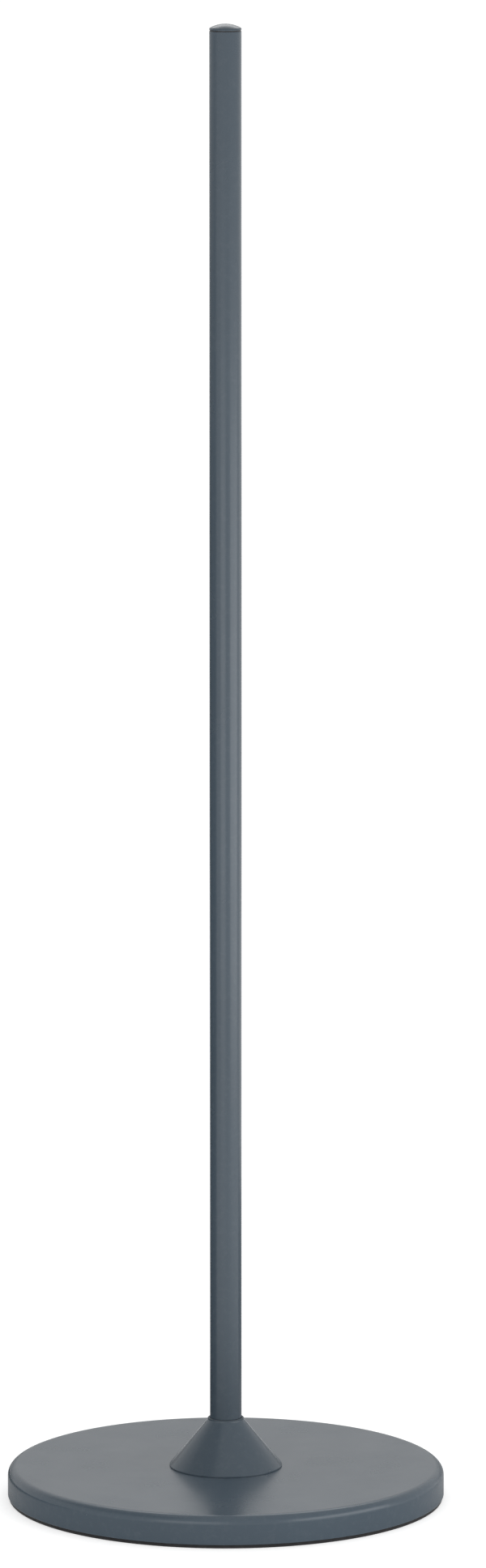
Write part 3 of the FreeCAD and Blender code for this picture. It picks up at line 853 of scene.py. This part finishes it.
def welded_foot_flange():
    """Foot flange with the rippled weld bead that holds the pole."""
    outer = outer_radius("foot_flange")
    low, high = span("foot_flange")
    bore = outer_radius("pole_tube") + FIT_GAP
    plate = low + FLANGE_THICKNESS
    leg = high - plate

    def bead(share):
        """The bead's surface at a share of the way from the plate up to the pole."""
        turn = math.pi / 2 * share
        bulge = WELD_BULGE * math.sin(math.pi * share)

        def row(angle):
            wave = abs(math.sin(angle * WELD_RIPPLES / 2 + 1.2 * math.cos(turn * 2)))
            swell = leg * (0.90 + bulge + bulge * wave)
            across = swell * math.cos(turn) ** 0.9
            return bore + across * 0.98, plate + swell * max(0.0, math.sin(turn)) ** 0.9

        return row

    corners = [(bore, low, EDGE), (outer, low, EDGE), (outer, plate, 1 * MM)]
    rows = rounded(corners + [(bore, plate)], 5)[:-1]
    rows += [(bore + leg + 0.4 * MM, plate)]
    rows += [bead(step / 10) for step in range(0, 11)]
    flange = turned("welded_foot_flange", rows, 352)
    return join_shapes(flange, pin_cutters(low - 2 * MM, plate + 3 * MM), "DIFFERENCE")


def spring_pins():
    """Slotted spring pins with bevelled ends."""
    low, high = span("locating_pins")
    slot = PIN_WALL / PIN_RADIUS / 2
    steps = 40
    cut_end = 0.3 * MM
    levels = ((low, cut_end), (low + PIN_BEVEL, 0), (high - PIN_BEVEL, 0), (high, cut_end))

    def pin():
        shape = bmesh.new()
        rings = []
        for height, cut in levels:
            outside, inside = [], []
            for step in range(steps + 1):
                angle = slot + (TURN - 2 * slot) * step / steps
                across, along = math.cos(angle), math.sin(angle)
                radius, bore = PIN_RADIUS - cut, PIN_RADIUS - PIN_WALL
                outside.append(shape.verts.new((radius * across, radius * along, height)))
                inside.append(shape.verts.new((bore * across, bore * along, height)))
            rings.append(outside + inside[::-1])
        count = len(rings[0])
        for lower, upper in zip(rings, rings[1:]):
            for place in range(count):
                following = (place + 1) % count
                shape.faces.new([lower[place], lower[following], upper[following], upper[place]])
        for ring in (rings[0], rings[-1]):
            for step in range(steps):
                across = count - 1 - step
                shape.faces.new([ring[step], ring[step + 1], ring[across - 1], ring[across]])
        return finished("pin", shape)

    return copies_round("spring_pins", pin, PIN_CIRCLE, 2)


# ---------------------------------------------------------------- pole


def coated_pole():
    """The tube, with the shallow turned recess that parks the collar's grommet."""
    outer = outer_radius("pole_tube")
    low, high = span("pole_tube")
    inner = outer - POLE_WALL
    floor = outer - RECESS_DEPTH
    recess_top = span("collar_grommet")[1] + RECESS_RISE
    recess_bottom = recess_top - RECESS_WIDTH
    corners = [
        (inner, low, EDGE),
        (outer, low, EDGE),
        (outer, recess_bottom, 0.1 * MM),
        (floor, recess_bottom, 0.1 * MM),
        (floor, recess_top, 0.1 * MM),
        (outer, recess_top, 0.05 * MM),
        (outer, high, EDGE),
        (inner, high, EDGE),
    ]
    return turned("coated_pole", rounded(corners, 4), 192)


def brass_insert():
    """Threaded brass bush glued in the pole's upper end."""
    outer = outer_radius("top_insert")
    low, high = span("top_insert")
    mouth = HEAD_THREAD_RADIUS + 0.6 * MM
    corners = [(HEAD_THREAD_RADIUS + 0.1 * MM, low, 0.05 * MM), (outer, low, EDGE)]
    for share in (0.25, 0.6):
        base = low + (high - low) * share
        top = base + 2.5 * MM
        corners += [(outer, base, 0.1 * MM), (outer - 0.6 * MM, base, 0.1 * MM)]
        corners += [(outer - 0.6 * MM, top, 0.1 * MM), (outer, top, 0.1 * MM)]
    corners += [(outer, high, EDGE), (mouth, high, 0.1 * MM)]
    rows = rounded(corners, 3)
    rows += thread(HEAD_THREAD_RADIUS, HEAD_THREAD_PITCH, low + 0.2 * MM, high - 0.6 * MM, outside=False)
    return turned("brass_insert", rows, 72)


# ---------------------------------------------------------------- collar


def spun_cone():
    """Spun conical collar with a short neck and a turned-in foot that hides the felt."""
    outer = outer_radius("cone_collar")
    low, high = span("cone_collar")
    hem_bottom = span("collar_felt")[1]
    hem_top = hem_bottom + HEM_THICKNESS
    rim_top = low + COLLAR_RIM
    cone_top = high - NECK_HEIGHT
    slope = (outer - NECK_RADIUS) / (cone_top - rim_top)
    across = COLLAR_WALL * math.sqrt(1 + slope**2)
    neck_bore = NECK_RADIUS - NECK_WALL
    corners = [
        (outer - HEM_WIDTH, hem_bottom, EDGE),
        (outer - RIM_LIP, hem_bottom),
        (outer - RIM_LIP, low, 0.05 * MM),
        (outer, low, 0.1 * MM),
        (outer, rim_top, 0.3 * MM),
        (NECK_RADIUS, cone_top, COLLAR_ROUNDING),
        (NECK_RADIUS, high, 0.1 * MM),
        (neck_bore, high, 0.1 * MM),
        (neck_bore, cone_top - (across - NECK_WALL) / slope, 0.5 * MM),
        (NECK_RADIUS + slope * (cone_top - hem_top) - across, hem_top, 0.5 * MM),
        (outer - HEM_WIDTH, hem_top, EDGE),
    ]
    return turned("spun_cone", rounded(corners, 6), 256)


def rubber_grommet():
    """Rubber sleeve in the collar's neck, with a thin lip over its edge."""
    low, high = span("collar_grommet")
    lip_radius = outer_radius("collar_grommet")
    lip_bottom = high - LIP_HEIGHT
    bore = outer_radius("pole_tube") + SLIDE_GAP
    sleeve = NECK_RADIUS - NECK_WALL - FIT_GAP
    corners = [
        (bore, low, 0.2 * MM),
        (sleeve, low, 0.2 * MM),
        (sleeve, lip_bottom),
        (lip_radius, lip_bottom, 0.05 * MM),
        (lip_radius, high, LIP_ROUNDING),
        (bore, high, 0.1 * MM),
    ]
    return turned("rubber_grommet", rounded(corners, 6), 192)


def felt_ring():
    """Felt under the collar's rim, its cut edges a little uneven."""
    outer = outer_radius("collar_felt")
    low, high = span("collar_felt")
    inner = outer - FELT_WIDTH

    def uneven(radius, height):
        def row(angle):
            wobble = FELT_WOBBLE * (math.sin(angle * 37) + math.sin(angle * 83 + height / MM * 2))
            return radius + wobble, height

        return row

    edge = FELT_EDGE
    outline = [(inner + 2 * edge, low), (outer - 2 * edge, low), (outer - edge, low + 2 * edge)]
    outline += [(outer - edge, high - 2 * edge), (outer - 2 * edge, high), (inner + 2 * edge, high)]
    outline += [(inner + edge, high - 2 * edge), (inner + edge, low + 2 * edge)]
    return turned("felt_ring", [uneven(*point) for point in outline], 512)


# ---------------------------------------------------------------- cap


def oring_heights():
    """Centres of the two O-rings."""
    low, high = span("cap_o_rings")
    return low + ORING_SECTION, high - ORING_SECTION


def crowned_cap():
    """Push-in cap: a shallow spherical crown, a straight edge and a spigot with two ring grooves."""
    outer = outer_radius("top_cap")
    low, high = span("top_cap")
    edge_top = high - CROWN_HEIGHT
    edge_bottom = edge_top - CAP_EDGE
    ball = (outer**2 + CROWN_HEIGHT**2) / (2 * CROWN_HEIGHT)
    widest = math.asin(outer / ball)
    steps = 24
    crown = []
    for step in range(steps + 1):
        angle = widest * (1 - step / steps)
        crown.append((ball * math.sin(angle), high - ball * (1 - math.cos(angle))))
    lead_in = 1.2 * MM
    corners = [(0, low), (SPIGOT_RADIUS - lead_in, low, 0.2 * MM), (SPIGOT_RADIUS, low + lead_in, 0.2 * MM)]
    floor = SPIGOT_RADIUS + 0.15 * MM - 2 * ORING_SECTION
    for middle in oring_heights():
        bottom, top = middle - ORING_SECTION, middle + ORING_SECTION
        corners += [(SPIGOT_RADIUS, bottom, 0.08 * MM), (floor, bottom, 0.2 * MM)]
        corners += [(floor, top, 0.2 * MM), (SPIGOT_RADIUS, top, 0.08 * MM)]
    corners += [(SPIGOT_RADIUS, edge_bottom), (outer, edge_bottom, EDGE), (outer, edge_top, CAP_ROUNDING)]
    # The crown's fourth point only tells the edge's rounding which way the outline goes on.
    rows = rounded(corners + [crown[3]], 6)[:-1]
    rows += [point for point in crown if point[0] < rows[-1][0] - 0.2 * MM]
    return turned("crowned_cap", rows, 160, closed=False)


def o_rings():
    """Two O-rings, as one mesh."""
    outer = outer_radius("cap_o_rings")
    centre = outer - ORING_SECTION
    merged = bmesh.new()
    for middle in oring_heights():
        outline = []
        for step in range(24):
            turn = TURN * step / 24
            across, up = ORING_SECTION * math.cos(turn), ORING_SECTION * math.sin(turn)
            outline.append((centre + across, middle + up))
        ring = turned("ring", outline, 144)
        merged.from_mesh(ring.data)
        bpy.data.objects.remove(ring)
    return finished("o_rings", merged)


def shadow_washer():
    """Thin nylon washer between cap and pole, seen as a dark line: its dark colour is partly the washer's
    own and partly painted shade of the seam.
    """
    outer = outer_radius("cap_washer")
    low, high = span("cap_washer")
    inner = SPIGOT_RADIUS + FIT_GAP
    corners = [(inner, low, 0.1 * MM), (outer, low, 0.2 * MM)]
    corners += [(outer, high, 0.2 * MM), (inner, high, 0.1 * MM)]
    return turned("shadow_washer", rounded(corners, 4), 144)


# ---------------------------------------------------------------- scene

make_camera()
bpy.context.scene.view_settings.view_transform = "Standard"
studio_floor()
studio_world()
softbox("right_box", azimuth=62, distance=1.3, height=0.42, width=1.4, tall=0.6, power=5.3)
softbox("left_box", azimuth=-18, distance=1.5, height=0.42, width=0.9, tall=0.6, power=2.1)
softbox("back_box", azimuth=177, distance=2.4, height=2.9, width=2.2, tall=1.4, power=19)
floor_cloth("left_cloth", azimuth=-110, half_angle=40, near=0.3, far=16, shade=0.01)
floor_cloth("right_cloth", azimuth=130, half_angle=26, near=0.5, far=1.4, shade=0.2)
# Painted shade: the grey ring stands in for the floor's shade round the base, in reflections only.
floor_shade_ring("base_floor_shade", near=0.176, far=0.5, shade=0.55)
hung_cloth("side_cloth", azimuth=-100, half_angle=32, distance=2.3, low=1.5, high=5.6, shade=0.38)
hung_cloth("front_cloth", azimuth=-52, half_angle=16, distance=2.3, low=2.0, high=5.6, shade=0.3)
hung_cloth("back_left_cloth", azimuth=-161, half_angle=12, distance=3, low=0, high=0.5, shade=0.3)
hung_cloth("back_right_cloth", azimuth=161, half_angle=12, distance=3, low=0, high=0.5, shade=0.3)

SLATE = slate_coat()
RUBBER = black_rubber()
ZINC = zinc_steel()

PIECES = (
    (rubber_foot_ring, "stand", "floor_ring", "black_rubber", RUBBER),
    (cover_shell, "stand", "base_cover", "slate_coat", SLATE),
    (ballast_casting, "stand", "ballast_disc", "cast_iron", cast_iron()),
    (foam_pads, "stand", "rattle_pads", "grey_foam", grey_foam()),
    (hex_bolt, "stand", "base_bolt", "zinc_steel", ZINC),
    (split_washer, "stand", "spring_washer", "zinc_steel", ZINC),
    (flat_washer, "stand", "plain_washer", "zinc_steel", ZINC),
    (threaded_foot_plug, "stand", "foot_plug", "zinc_steel", ZINC),
    (welded_foot_flange, "stand", "foot_flange", "primed_steel", primed_steel()),
    (spring_pins, "stand", "locating_pins", "zinc_steel", ZINC),
    (coated_pole, "stand", "pole_tube", "slate_coat", SLATE),
    (brass_insert, "stand", "top_insert", "brass", turned_brass()),
    (spun_cone, "collar", "cone_collar", "slate_coat", SLATE),
    (rubber_grommet, "collar", "collar_grommet", "slate_rubber", slate_rubber()),
    (felt_ring, "collar", "collar_felt", "black_felt", black_felt()),
    (crowned_cap, "cap", "top_cap", "slate_coat", SLATE),
    # The washer's dark nylon also paints the seam's shade under the cap.
    (shadow_washer, "cap", "cap_washer", "black_nylon", black_nylon()),
    (o_rings, "cap", "cap_o_rings", "black_rubber", RUBBER),
)
for make, body, node, slot, surface in PIECES:
    dress(make(), body, node, surface)

# The gasket keeps its CAD shape.
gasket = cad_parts["foot_gasket"]
gasket.data.materials.clear()
gasket.data.materials.append(fibre_gasket())
